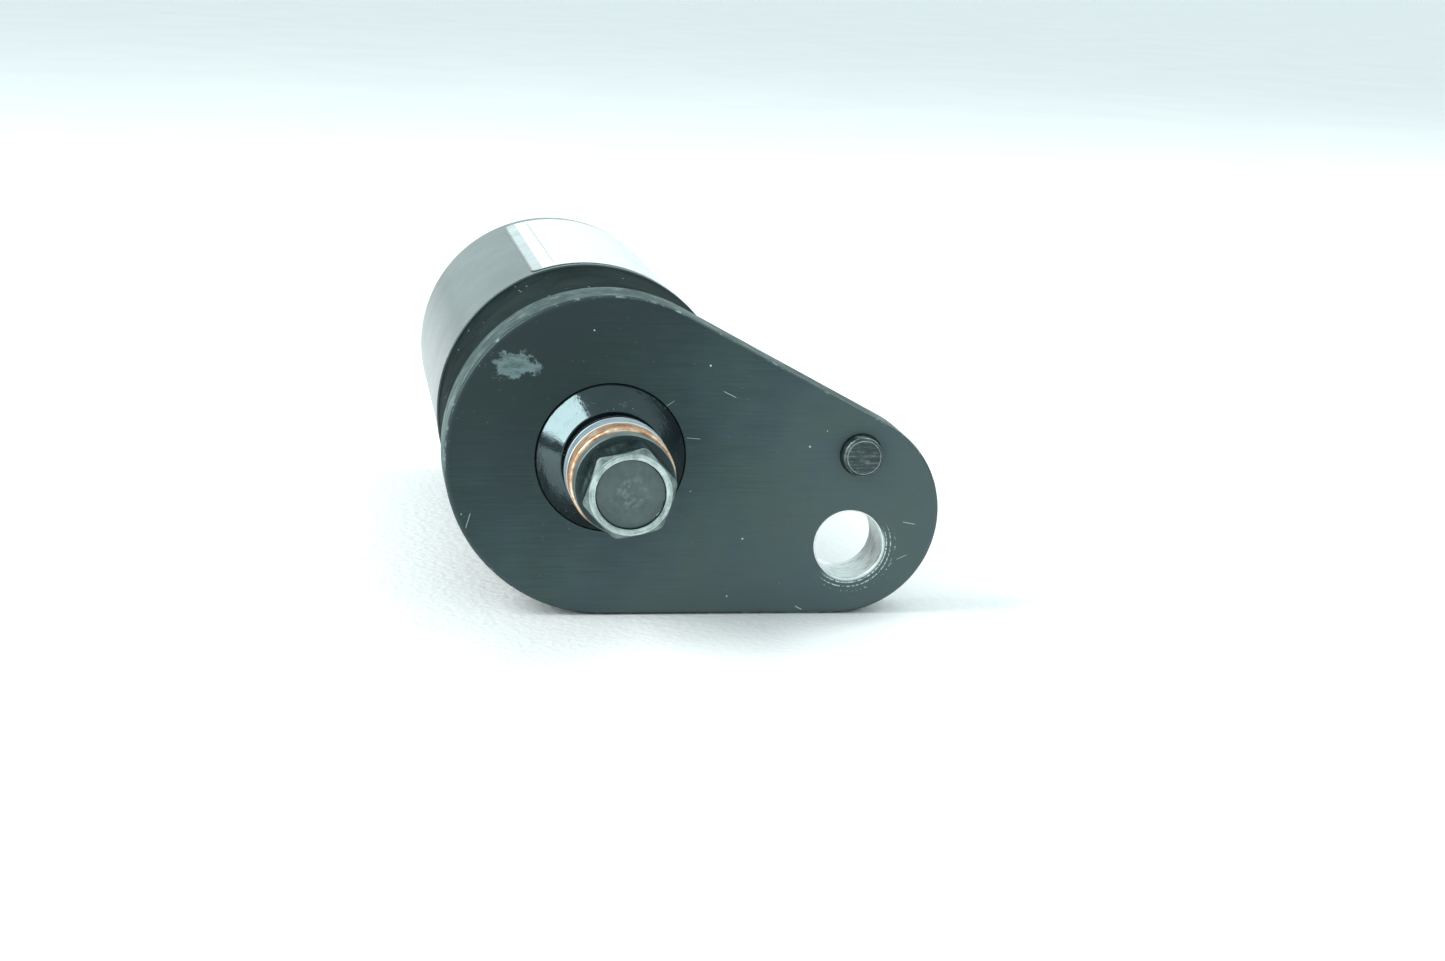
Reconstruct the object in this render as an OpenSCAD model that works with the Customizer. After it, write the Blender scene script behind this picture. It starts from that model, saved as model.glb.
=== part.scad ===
// Small gas-charged piston accumulator with a teardrop mounting plate.
// The canister lies along +Y. The port side faces -Y and the ear points to +X.
// The origin is on the axis of the bolt hole, in the plane of the plate's front face.

/* [Mounting plate] */
// Radius of the plate's round end
plate_r = 32.5; // [32.3:0.1:34]
// How far the round end's centre is off the canister axis, away from the ear
plate_shift = 0.5; // [0:0.1:0.8]
// Radius of the plate's ear
ear_r = 20.9; // [19:0.1:22]
// Distance from the canister axis to the ear's centre
ear_reach = 47.2; // [46:0.1:52]
// Thickness of the plate
plate_t = 12; // [11:0.5:14]
// Radius of the bolt hole
bolt_hole_r = 7; // [6:0.1:7.5]
// Bolt hole's distance to the right of the canister axis
bolt_hole_x = 49.5; // [48:0.1:51]
// Bolt hole's distance below the canister axis
bolt_hole_drop = 17.9; // [17:0.1:19]
// Radius of the locating pin
pin_r = 4; // [3:0.1:4.5]
// Locating pin's distance to the right of the canister axis
pin_x = 51; // [50:0.1:53]
// Locating pin's height above the canister axis
pin_rise = 1; // [0:0.1:2]
// How far the locating pin stands out of the plate
pin_proud = 3; // [2:0.5:5]

/* [Canister] */
// Radius of the end cap's machined neck
neck_r = 31.5; // [31:0.1:31.7]
// Where the neck ends and the canister begins, behind the plate's face
seam_z = 46.5; // [44:0.5:48]
// Outer radius of the canister
shell_r = 31.7; // [31.2:0.1:32]
// How far the canister's rolled lip stands out
lip_proud = 0.3; // [0.1:0.05:0.4]
// Where the canister's closed end is, behind the plate's face
shell_end_z = 133.5; // [131:0.5:138]
// Radius of the closed end's rounded corner
shell_round = 4; // [3:0.5:6]
// Radius of the cylinder bore
bore_r = 27.5; // [27:0.1:28]

/* [Port] */
// Radius of the port boss where it stands on the plate
boss_base_r = 15; // [14:0.1:16]
// Radius of the port boss at its tip
boss_tip_r = 10.8; // [10.6:0.1:11.5]
// Height of the cone
boss_h = 5.1; // [4:0.1:6]
// Radius of the threaded port
port_r = 7; // [6.5:0.1:7]
// Width across the flats of the plug's hexagon
plug_af = 16; // [15:0.5:17]
// Angle that the plug's hexagon is turned through
plug_turn = 13; // [0:1:59]
// Radius of the plug's collar
collar_r = 9.8; // [9.6:0.1:10.2]
// Radius of the copper ring
copper_r = 10.3; // [10:0.1:10.6]
// Length of the copper ring
copper_len = 5; // [4:0.5:6]
// Length of the steel spacer behind the copper ring
spacer_len = 4.2; // [3:0.1:5]
// Length of the black bonded seal behind the spacer
bonded_len = 2; // [1.5:0.1:2.5]

/* [Piston] */
// Length of the piston
piston_len = 26; // [26:0.5:27]
// Stroke of the piston
stroke = 34; // [15:1:34]

/* [Gas valve] */
// Radius of the gas valve's thread
valve_r = 9; // [8.5:0.1:9.5]
// Width across the flats of the gas valve's hexagon
valve_af = 24; // [22:1:26]
// Radius of the protective cap
valve_cap_r = 8.4; // [8.2:0.1:9]
// Number of flutes in the cap's grip
cap_flutes = 24; // [12:2:30]

/* [Label] */
// Arc that the label covers
label_arc = 150; // [60:5:180]
// Label's first edge, from the top towards the left
label_start = 22; // [10:1:40]
// Distance from the seam to the label
label_gap = 3.5; // [2.5:0.5:6]
// Length of the label along the canister
label_len = 76; // [40:1:78]

/* [Hidden] */
$fn = 96;

eps = 0.01;
seat_gap = 0.05;      // between two bodies that seat on each other
run_gap = 0.04;       // radial clearance of a running fit

pin_shank_r = pin_r - 0.2;
pin_chamfer = 0.6;
pin_step = 0.05;
pin_relief = 1;
pin_margin = 0.35;
boss_sink = 1.2;
boss_margin = 0.3;
dowel_r = 2.5;
dowel_drop = 22;
dowel_depth = 7;

// Port side, measured along the canister axis, negative in front of the plate
boss_neck_r = 9.2;
boss_neck_z = -8.4;
bonded_z = boss_neck_z - seat_gap;
spacer_z = bonded_z - bonded_len;
copper_z = spacer_z - spacer_len;
collar_z = copper_z - copper_len;
collar_len = 3.4;
head_z = collar_z - collar_len;
head_len = 7.9;
head_end_z = head_z - head_len;
dish_r = 6.8;
chamfer_angle = 35;
plug_clear = 0.2;
shank_end_z = 4;
shank_r = port_r - run_gap;
adapter_r = 11;
adapter_end_z = 25;
passage_r = 4;

// End cap and cylinder
cap_end_z = seam_z + 14;
spigot_r = 28.5;
groove_z = seam_z + 6;
groove_r = spigot_r - 2.6;
groove_len = 4.6;
cap_well_r = 18;
cap_well_z = 34;
screen_r = 9;
shell_floor_z = shell_end_z - 9;
bumper_r = 24;
bumper_in_r = 20.5;
bumper_z = cap_end_z - 1.5;
bumper_top_z = cap_end_z + 0.9;
piston_r = bore_r - 0.3;
piston_z = bumper_top_z + 0.3;
piston_end_z = piston_z + piston_len;
cup_r = 20.5;
cup_z = piston_z + 8;
guide_r = 25.4;       // bottoms of the piston's grooves
slide_r = 23.6;
seal_r = 24.2;
guide_z = [piston_z + 2, piston_z + 20];
guide_len = 4;
slide_z = piston_z + 8.4;
slide_len = 4;
seal_z = piston_z + 14.6;
seal_len = 3.4;

// Gas valve, measured along the canister axis
valve_in_z = shell_end_z - 12;
valve_hex_z = shell_end_z;
valve_hex_h = 6;
nipple_r = 6.5;
nipple_z = valve_hex_z + valve_hex_h;
nipple_end_z = nipple_z + 9;
chamber_r = 3.6;
seat_z = valve_hex_z + 4;
stem_r = 1.2;
poppet_r = 2.9;
spring_z = valve_in_z + 4.3;
spring_end_z = seat_z - 4;
spring_r = 2.2;
wire_r = 0.35;
coils = 6;
cap_roof_z = nipple_end_z + 1;
cap_end_out_z = cap_roof_z + 2;

function arc(cx, cy, r, a0, a1, n = 10) =
    [for (i = [0 : n]) let (a = a0 + (a1 - a0) * i / n) [cx + r * cos(a), cy + r * sin(a)]];

// Places a shape that is drawn around Z: Z becomes the canister axis, y becomes down.
module on_axis() {
    translate([-bolt_hole_x, 0, bolt_hole_drop]) rotate([-90, 0, 0]) children();
}

module tube(r_out, r_in, z0, z1) {
    translate([0, 0, z0]) difference() {
        cylinder(r = r_out, h = z1 - z0);
        translate([0, 0, -1]) cylinder(r = r_in, h = z1 - z0 + 2);
    }
}

module rod(r, z0, z1) {
    translate([0, 0, z0]) cylinder(r = r, h = z1 - z0);
}

module o_ring(r_mid, r_wire, z) {
    translate([0, 0, z]) rotate_extrude() translate([r_mid, 0]) circle(r = r_wire, $fn = 32);
}

// Outline of the plate: two circles on a common bottom tangent, joined by two tangents
module teardrop(r1, r2) {
    drop = plate_r - ear_r;
    reach = ear_reach + plate_shift;
    span = sqrt(reach * reach + drop * drop);
    lean = atan2(drop, reach);
    open = acos((r1 - r2) / span);
    top = lean - open;
    low = lean + open;
    circle(r = r1);
    translate([reach, drop]) circle(r = r2);
    polygon([
        [r1 * cos(top), r1 * sin(top)],
        [reach + r2 * cos(top), drop + r2 * sin(top)],
        [reach + r2 * cos(low), drop + r2 * sin(low)],
        [r1 * cos(low), r1 * sin(low)]]);
}

module mounting_plate() {
    color("#2b2f30") on_axis() difference() {
        linear_extrude(height = plate_t) translate([-plate_shift, 0]) teardrop(plate_r, ear_r);
        rod(adapter_r + 0.1, -1, plate_t + 1);
        rod(boss_base_r + boss_margin, -1, boss_sink);
        translate([bolt_hole_x, bolt_hole_drop, 0]) rod(bolt_hole_r, -1, plate_t + 1);
        translate([pin_x, -pin_rise, 0]) {
            rod(pin_shank_r, -1, plate_t - 2);
            rod(pin_r + pin_margin, -1, pin_relief);
        }
        translate([0, dowel_drop, 0]) rod(dowel_r, plate_t - dowel_depth, plate_t + 1);
    }
}

module locating_pin() {
    tip_z = pin_chamfer - pin_proud;
    color("#4a4d50") on_axis() translate([pin_x, -pin_rise, 0]) {
        rod(pin_shank_r, tip_z + eps, plate_t - 2.5);
        rod(pin_r, tip_z, -pin_step);
        translate([0, 0, -pin_proud]) cylinder(r1 = pin_r - pin_chamfer, r2 = pin_r, h = pin_chamfer);
    }
}

module anti_rotation_pin() {
    color("silver") on_axis() translate([0, dowel_drop, 0])
        rod(dowel_r, plate_t - dowel_depth + 0.2, plate_t + dowel_depth - 0.2);
}

module front_cap() {
    color("#1d1f20") on_axis() difference() {
        union() {
            rod(neck_r, plate_t, seam_z);
            rod(spigot_r, seam_z, cap_end_z);
        }
        rod(adapter_r, plate_t - 1, adapter_end_z + 1);
        rod(passage_r + 0.5, adapter_end_z, cap_well_z);
        rod(screen_r, cap_well_z - 3, cap_well_z + 1);
        tube(screen_r + 0.7, screen_r - 1, cap_well_z - 1.6, cap_well_z - 0.6);
        rod(cap_well_r, cap_well_z, cap_end_z + 1);
        tube(spigot_r + 1, groove_r, groove_z, groove_z + groove_len);
        tube(bumper_r, bumper_in_r, bumper_z, cap_end_z + 1);
        translate([0, dowel_drop, 0]) rod(dowel_r, plate_t - 1, plate_t + dowel_depth);
    }
}

module cap_o_ring() {
    color("#151515") on_axis() o_ring(spigot_r - 1.32, 1.27, groove_z + 3);
}

module cap_backup_ring() {
    color("#e6e3d8") on_axis() tube(spigot_r - 0.02, groove_r + 0.02, groove_z + 0.02, groove_z + 1.5);
}

module bumper_ring() {
    color("#202020") on_axis() tube(bumper_r - 0.1, bumper_in_r + 0.1, bumper_z, bumper_top_z);
}

module shell_tube() {
    lip_r = shell_r + lip_proud;
    color("#3a3c3d") on_axis() rotate_extrude($fn = 128) polygon(concat(
        [[spigot_r, seam_z]],
        arc(lip_r - 0.5, seam_z + 0.5, 0.5, -90, 0, 4),
        arc(lip_r - 0.5, seam_z + 1.3, 0.5, 0, 45, 3),
        [[shell_r, seam_z + 2.2]],
        arc(shell_r - shell_round, shell_end_z - shell_round, shell_round, 0, 90, 8),
        [[valve_r, shell_end_z], [valve_r, shell_floor_z]],
        arc(bore_r - 2, shell_floor_z - 2, 2, 90, 0, 5),
        [[bore_r, cap_end_z], [spigot_r, cap_end_z]]));
}

module rating_label() {
    color("white") on_axis() rotate([0, 0, -90 - label_start])
        rotate_extrude(angle = label_arc, $fn = 128)
            translate([shell_r + 0.02, seam_z + label_gap]) square([0.18, label_len]);
}

module port_boss() {
    color("#0c0c0d") on_axis() difference() {
        union() {
            rod(boss_neck_r, boss_neck_z, 0);
            translate([0, 0, -boss_h]) cylinder(r1 = boss_tip_r, r2 = boss_base_r, h = boss_h);
            rod(boss_base_r, -eps, boss_sink);
            rod(adapter_r, 0, adapter_end_z);
        }
        rod(port_r, boss_neck_z - 1, 8);
        rod(passage_r, 7, adapter_end_z + 1);
        tube(adapter_r + 1, adapter_r - 1.9, 20.5, 23.1);
    }
}

module port_boss_o_ring() {
    color("#151515") on_axis() o_ring(adapter_r - 0.97, 0.92, 21.8);
}

module port_screen() {
    color("#c9c4b4") on_axis() difference() {
        rod(screen_r - 0.05, cap_well_z - 3, cap_well_z - 1.7);
        for (ring = [0 : 2])
            for (i = [0 : max(0, 6 * ring - 1)])
                rotate(360 / max(1, 6 * ring) * i) translate([1.5 * ring, 0, 0])
                    rod(0.5, cap_well_z - 4, cap_well_z);
    }
}

module screen_retaining_ring() {
    color("silver") on_axis() difference() {
        tube(screen_r + 0.6, screen_r - 1.6, cap_well_z - 1.55, cap_well_z - 0.65);
        translate([0, -2, cap_well_z - 3]) cube([screen_r + 2, 4, 4]);
    }
}

// The plug's hexagon, chamfered towards the dish
module plug_head() {
    corner_r = plug_af / 2 / cos(30);
    rim_r = dish_r + 0.3;
    intersection() {
        rotate(-plug_turn) translate([0, 0, head_end_z])
            cylinder(r = corner_r, h = head_len, $fn = 6);
        rotate_extrude() polygon([
            [0, head_z],
            [corner_r + 1, head_z],
            [corner_r + 1, head_end_z + (corner_r + 1 - rim_r) * tan(chamfer_angle)],
            [rim_r, head_end_z],
            [0, head_end_z]]);
    }
}

module port_plug() {
    color("#1b1d1e") on_axis() difference() {
        union() {
            plug_head();
            rotate_extrude() polygon(concat(
                [[0, head_z], [collar_r - 0.5, head_z]],
                arc(collar_r - 0.5, head_z + 0.5, 0.5, -90, 0, 4),
                [[collar_r, collar_z], [0, collar_z]]));
            rod(shank_r, collar_z, shank_end_z - 1);
            translate([0, 0, shank_end_z - 1]) cylinder(r1 = shank_r, r2 = shank_r - 1, h = 1);
        }
        rotate_extrude() polygon([
            [0, head_end_z - 1], [dish_r, head_end_z - 1], [dish_r, head_end_z],
            [dish_r - 0.35, head_end_z + 0.7], [0, head_end_z + 1]]);
    }
}

module copper_ring() {
    round_r = 0.6;
    color("#b5713f") on_axis() rotate_extrude() polygon(concat(
        [[shank_r + plug_clear, collar_z + eps], [copper_r - round_r, collar_z + eps]],
        arc(copper_r - round_r, collar_z + eps + round_r, round_r, -90, 0, 5),
        [[copper_r, copper_z], [shank_r + plug_clear, copper_z]]));
}

module steel_spacer() {
    color("#c8cccf") on_axis()
        tube(copper_r + 0.1, shank_r + plug_clear, copper_z + eps, spacer_z);
}

module bonded_seal() {
    color("#141414") on_axis()
        tube(copper_r + 0.1, shank_r + plug_clear, spacer_z + eps, bonded_z);
}

module piston() {
    color("#b9bcc0") on_axis() difference() {
        rod(piston_r, piston_z, piston_end_z);
        rod(cup_r, cup_z, piston_end_z + 1);
        for (z = guide_z) tube(piston_r + 1, guide_r, z, z + guide_len);
        tube(piston_r + 1, slide_r, slide_z, slide_z + slide_len);
        tube(piston_r + 1, seal_r, seal_z, seal_z + seal_len);
    }
}

module guide_strip(z) {
    color("#8a6a3c") on_axis()
        tube(bore_r - run_gap, guide_r + 0.02, z + 0.05, z + guide_len - 0.05);
}

module piston_guide_front() {
    guide_strip(guide_z[0]);
}

module piston_slide_ring() {
    color("#5b4a36") on_axis()
        tube(bore_r - run_gap, slide_r + 2.5, slide_z + 0.05, slide_z + slide_len - 0.05);
}

module piston_energiser() {
    color("#151515") on_axis() o_ring(slide_r + 1.25, 1.2, slide_z + slide_len / 2);
}

module piston_gas_seal() {
    color("#151515") on_axis() o_ring(bore_r - run_gap - 1.62, 1.6, seal_z + seal_len / 2);
}

module piston_guide_rear() {
    guide_strip(guide_z[1]);
}

module gas_valve_body() {
    color("#8d9194") on_axis() difference() {
        union() {
            rod(valve_r, valve_in_z, valve_hex_z);
            translate([0, 0, valve_hex_z]) intersection() {
                cylinder(r = valve_af / 2 / cos(30), h = valve_hex_h, $fn = 6);
                translate([0, 0, -1]) cylinder(
                    r1 = valve_af / 2 + 8, r2 = valve_af / 2 - 0.6, h = valve_hex_h + 1);
            }
            rod(nipple_r, nipple_z, nipple_end_z - 0.6);
            translate([0, 0, nipple_end_z - 0.6])
                cylinder(r1 = nipple_r, r2 = nipple_r - 0.6, h = 0.6);
        }
        rod(chamber_r, valve_in_z - 1, seat_z);
        rod(stem_r + 0.8, seat_z - 1, nipple_end_z + 1);
        tube(valve_r + 1, valve_r - 1.85, valve_hex_z - 3, valve_hex_z - 0.8);
    }
}

module gas_valve_o_ring() {
    color("#151515") on_axis() o_ring(valve_r - 0.94, 0.89, valve_hex_z - 1.9);
}

module gas_valve_pin() {
    color("#c9a23b") on_axis() {
        rod(stem_r, valve_in_z + 1, nipple_end_z - 1.5);
        rod(poppet_r, spring_end_z + 0.2, seat_z - 0.8);
    }
}

module gas_valve_seal() {
    color("#151515") on_axis() tube(poppet_r, stem_r, seat_z - 0.8, seat_z - seat_gap);
}

// Points of one ring of the spring's wire, at turn t from 0 to coils
function spring_ring(t) =
    let (a = 360 * t, z = spring_z + wire_r + (spring_end_z - spring_z - 2 * wire_r) * t / coils)
    [for (k = [0 : 7]) let (r = spring_r + wire_r * cos(45 * k))
        [r * cos(a), r * sin(a), z + wire_r * sin(45 * k)]];

module gas_valve_spring() {
    per_turn = 16;
    last = coils * per_turn;
    points = [for (i = [0 : last]) each spring_ring(i / per_turn)];
    sides = [for (i = [0 : last - 1]) for (k = [0 : 7])
        let (j = (k + 1) % 8, a = 8 * i, b = 8 * (i + 1))
        each [[a + k, b + k, b + j], [a + k, b + j, a + j]]];
    front = [for (k = [1 : 6]) [0, k, k + 1]];
    back = [for (k = [1 : 6]) [8 * last, 8 * last + k + 1, 8 * last + k]];
    color("#d0d3d6") on_axis() polyhedron(points, concat(sides, front, back), convexity = 8);
}

module gas_valve_retainer() {
    color("#c9a23b") on_axis() difference() {
        rod(chamber_r, valve_in_z + 1.5, valve_in_z + 4);
        rod(stem_r + 0.3, valve_in_z, valve_in_z + 5);
        for (side = [-1, 1])
            translate([2.5 * side, 0, 0]) rod(0.6, valve_in_z, valve_in_z + 5);
    }
}

module gas_valve_cap() {
    grip_z = nipple_z + 0.3;
    color("#1a1b1c") on_axis() difference() {
        union() {
            rod(valve_cap_r, grip_z, cap_end_out_z - 1);
            translate([0, 0, cap_end_out_z - 1])
                cylinder(r1 = valve_cap_r, r2 = valve_cap_r - 1, h = 1);
        }
        rod(nipple_r + run_gap, grip_z - 1, cap_roof_z);
        for (i = [0 : cap_flutes - 1])
            rotate(360 / cap_flutes * i) translate([valve_cap_r + 0.35, 0, 0])
                rod(0.6, grip_z + 2, cap_end_out_z + 1);
    }
}

module gas_cap_seal() {
    color("#151515") on_axis()
        tube(nipple_r - 0.3, 2.6, nipple_end_z + seat_gap, cap_roof_z - seat_gap);
}

mounting_plate();
locating_pin();
anti_rotation_pin();
front_cap();
cap_o_ring();
cap_backup_ring();
bumper_ring();
shell_tube();
rating_label();
port_boss();
port_boss_o_ring();
port_screen();
screen_retaining_ring();
port_plug();
copper_ring();
steel_spacer();
bonded_seal();
piston();
piston_guide_front();
piston_slide_ring();
piston_energiser();
piston_gas_seal();
piston_guide_rear();
gas_valve_body();
gas_valve_o_ring();
gas_valve_pin();
gas_valve_seal();
gas_valve_spring();
gas_valve_retainer();
gas_valve_cap();
gas_cap_seal();
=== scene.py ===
"""Looks of a small piston accumulator on a teardrop mounting plate, built round its CAD frame."""

import math

import bmesh
import bpy
from mathutils import Matrix, Vector


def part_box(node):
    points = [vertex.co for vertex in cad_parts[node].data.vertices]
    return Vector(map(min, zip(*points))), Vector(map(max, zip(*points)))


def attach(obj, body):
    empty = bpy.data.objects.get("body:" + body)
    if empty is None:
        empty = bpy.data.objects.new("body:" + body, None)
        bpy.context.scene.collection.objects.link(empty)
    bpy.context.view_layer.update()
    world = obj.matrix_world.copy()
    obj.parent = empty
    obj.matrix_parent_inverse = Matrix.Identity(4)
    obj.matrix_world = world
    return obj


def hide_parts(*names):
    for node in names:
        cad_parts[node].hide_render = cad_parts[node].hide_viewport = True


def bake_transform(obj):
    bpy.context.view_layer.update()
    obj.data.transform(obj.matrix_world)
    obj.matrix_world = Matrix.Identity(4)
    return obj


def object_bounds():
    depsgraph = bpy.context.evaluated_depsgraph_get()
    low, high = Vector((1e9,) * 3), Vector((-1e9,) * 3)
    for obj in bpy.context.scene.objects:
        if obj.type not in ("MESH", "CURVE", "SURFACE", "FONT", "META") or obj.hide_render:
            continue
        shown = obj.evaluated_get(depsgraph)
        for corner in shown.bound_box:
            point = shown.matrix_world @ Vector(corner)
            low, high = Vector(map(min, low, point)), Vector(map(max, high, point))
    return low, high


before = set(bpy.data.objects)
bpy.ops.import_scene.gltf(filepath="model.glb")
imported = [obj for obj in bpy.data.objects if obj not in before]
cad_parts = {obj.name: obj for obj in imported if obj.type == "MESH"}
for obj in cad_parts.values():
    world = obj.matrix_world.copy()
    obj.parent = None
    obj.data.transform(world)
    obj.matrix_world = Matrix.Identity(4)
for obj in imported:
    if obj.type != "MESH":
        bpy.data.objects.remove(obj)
cad_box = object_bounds()
MM = 0.001

# ---------------------------------------------------------------- places taken from the frame
# Places (_AT, AXIS) are (x, z) in metres. Radii, lengths and profiles are in millimetres.

shell_lo, shell_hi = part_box("shell_tube")
plate_lo, plate_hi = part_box("mounting_plate")
AXIS_X = (shell_lo.x + shell_hi.x) / 2
AXIS_Z = (shell_lo.z + shell_hi.z) / 2
AXIS = (AXIS_X, AXIS_Z)
SHELL_R = 31.7
BIG_R = (plate_hi.z - plate_lo.z) / 2 / MM
EAR_R = 20.9
BIG_AT = (plate_lo.x + BIG_R * MM, AXIS_Z)
EAR_AT = (plate_hi.x - EAR_R * MM, plate_lo.z + EAR_R * MM)
HOLE_AT = (0.0, 0.0)
HOLE_R = 7.0
PLATE_T = plate_hi.y / MM
pin_lo, pin_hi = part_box("locating_pin")
PIN_AT = ((pin_lo.x + pin_hi.x) / 2, (pin_lo.z + pin_hi.z) / 2)
dowel_lo, dowel_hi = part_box("anti_rotation_pin")
DOWEL_AT = ((dowel_lo.x + dowel_hi.x) / 2, (dowel_lo.z + dowel_hi.z) / 2)


def front(node):
    """Where a node begins along the canister, in millimetres."""
    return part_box(node)[0].y / MM


def rear(node):
    """Where a node ends along the canister, in millimetres."""
    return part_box(node)[1].y / MM


# ---------------------------------------------------------------- material tools

# Reflections are tinted, since the photograph's light is colder than its black surfaces
COLD = (0.7, 0.96, 1.0)


def socket_input(tree, target, value):
    if isinstance(value, bpy.types.NodeSocket):
        tree.links.new(value, target)
    else:
        target.default_value = value


class Finish:
    """A Principled material and short ways to add nodes to it."""

    def __init__(self, name, base, rough, metal=0.0, **constants):
        self.mat = bpy.data.materials.new(name)
        self.mat.use_nodes = True
        self.tree = self.mat.node_tree
        self.shader = next(n for n in self.tree.nodes if n.type == "BSDF_PRINCIPLED")
        self.at = self.node("ShaderNodeTexCoord").outputs["Object"]
        self.set("Base Color", base)
        self.set("Roughness", rough)
        self.set("Metallic", metal)
        for key, value in constants.items():
            self.set(key.replace("_", " "), value)
        self.height = None

    def node(self, kind, inputs=None, **settings):
        made = self.tree.nodes.new(kind)
        for key, value in settings.items():
            setattr(made, key, value)
        for key, value in (inputs or {}).items():
            socket_input(self.tree, made.inputs[key], value)
        return made

    def set(self, key, value):
        if isinstance(value, tuple) and len(value) == 3:
            value = (*value, 1.0)
        socket_input(self.tree, self.shader.inputs[key], value)

    def calc(self, how, a, b=0.0, clamp=False):
        return self.node("ShaderNodeMath", {0: a, 1: b}, operation=how, use_clamp=clamp).outputs[0]

    def times(self, a, b, clamp=False):
        return self.calc("MULTIPLY", a, b, clamp)

    def weigh(self, a, share, b):
        """A share of a and the rest of b."""
        return self.calc("ADD", self.times(a, share), self.times(b, 1 - share))

    def span(self, value, low, high, to_low=0.0, to_high=1.0):
        return self.node(
            "ShaderNodeMapRange",
            {
                "Value": value,
                "From Min": low,
                "From Max": high,
                "To Min": to_low,
                "To Max": to_high,
            },
            interpolation_type="SMOOTHSTEP",
        ).outputs["Result"]

    def placed(self, shift=(0, 0, 0), turn=(0, 0, 0), scale=(1, 1, 1), source=None):
        return self.node(
            "ShaderNodeMapping",
            {"Vector": source or self.at, "Location": shift, "Rotation": turn, "Scale": scale},
        ).outputs[0]

    def noise(self, scale, detail=3.0, rough=0.55, source=None, twist=0.0):
        return self.node(
            "ShaderNodeTexNoise",
            {
                "Vector": source or self.at,
                "Scale": scale,
                "Detail": detail,
                "Roughness": rough,
                "Distortion": twist,
            },
        ).outputs["Fac"]

    def cells(self, scale):
        return self.node("ShaderNodeTexVoronoi", {"Vector": self.at, "Scale": scale}).outputs[
            "Distance"
        ]

    def flecks(self, scale, size, patches, cut, detail=2.0):
        """Dots that fade from size[1] to size[0], only where a patchy noise passes the cut."""
        dots = self.span(self.cells(scale), *size)
        return self.times(dots, self.span(self.noise(patches, detail), *cut))

    def blend(self, share, a, b):
        made = self.node("ShaderNodeMix", data_type="RGBA", clamp_factor=True)
        socket_input(self.tree, made.inputs[0], share)
        for slot, value in ((6, a), (7, b)):
            if isinstance(value, tuple) and len(value) == 3:
                value = (*value, 1.0)
            socket_input(self.tree, made.inputs[slot], value)
        return made.outputs[2]

    def ramp(self, value, stops):
        made = self.node("ShaderNodeValToRGB", {"Fac": value})
        made.color_ramp.elements[0].position = stops[0][0]
        made.color_ramp.elements[1].position = stops[-1][0]
        for at, _ in stops[1:-1]:
            made.color_ramp.elements.new(at)
        for element, (_, colour) in zip(made.color_ramp.elements, stops):
            element.color = (*colour, 1.0)
        return made.outputs["Color"]

    def mottled(self, value, dark, light, low=0.3, high=0.7):
        return self.ramp(self.span(value, low, high), [(0.0, dark), (1.0, light)])

    def rough(self, value, low, high):
        """Sets a roughness that follows a noise."""
        self.set("Roughness", self.span(value, 0.3, 0.7, low, high))

    def away(self, point):
        """Distance of the shaded point from a point, in metres."""
        return self.node(
            "ShaderNodeVectorMath", {0: self.at, 1: point}, operation="DISTANCE"
        ).outputs["Value"]

    def rings(self, fine, around=2.0, detail=3.0, centre=AXIS):
        """Lathe marks: fine across the turned surface, long round the axis."""
        parts = self.node("ShaderNodeSeparateXYZ", {0: self.at})
        dx = self.calc("SUBTRACT", parts.outputs[0], centre[0])
        dz = self.calc("SUBTRACT", parts.outputs[2], centre[1])
        squares = self.calc("ADD", self.calc("POWER", dx, 2), self.calc("POWER", dz, 2))
        radius = self.calc("SQRT", squares)
        turned = self.node(
            "ShaderNodeCombineXYZ",
            {
                0: self.times(radius, fine),
                1: self.times(self.calc("DIVIDE", dx, radius), around),
                2: self.times(self.calc("DIVIDE", dz, radius), around),
            },
        ).outputs[0]
        return self.node(
            "ShaderNodeTexNoise",
            {
                "Vector": turned,
                "W": self.times(parts.outputs[1], fine),
                "Scale": 1.0,
                "Detail": detail,
            },
            noise_dimensions="4D",
        ).outputs["Fac"]

    def hairlines(self, lean, fine=2600.0, long=45.0, cut=0.72):
        """Thin scratches that lie in one direction, in patches."""
        stretch = (long, fine / 4, fine)
        lines = self.noise(1.0, 2.0, 0.6, self.placed(turn=(0, lean, 0), scale=stretch))
        patches = self.noise(55.0, 2.0, 0.5, self.placed(shift=(lean, 0.1, 0.2)))
        return self.times(
            self.span(lines, cut, cut + 0.06), self.span(patches, 0.5, 0.64), clamp=True
        )

    def scratch(self, at, lean, long, wide):
        """One short scratch on the plate's face: 1 on it and 0 off it."""
        moved = self.placed(shift=(-at[0], 0, -at[1]))
        parts = self.node(
            "ShaderNodeSeparateXYZ", {0: self.placed(turn=(0, lean, 0), source=moved)}
        )
        across = self.calc("ABSOLUTE", parts.outputs[2])
        along = self.calc("ABSOLUTE", parts.outputs[0])
        return self.times(self.span(across, wide, wide * 0.4), self.span(along, long, long * 0.7))

    def add(self, *shares):
        total = shares[0]
        for share in shares[1:]:
            total = self.calc("ADD", total, share, clamp=True)
        return total

    def bump(self, height, depth, strength=1.0):
        """Adds a relief that is depth metres high."""
        relief = {"Height": height, "Distance": depth, "Strength": strength}
        made = self.node("ShaderNodeBump", relief)
        if self.height is not None:
            self.tree.links.new(self.height, made.inputs["Normal"])
        self.height = made.outputs["Normal"]
        self.set("Normal", self.height)


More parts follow.
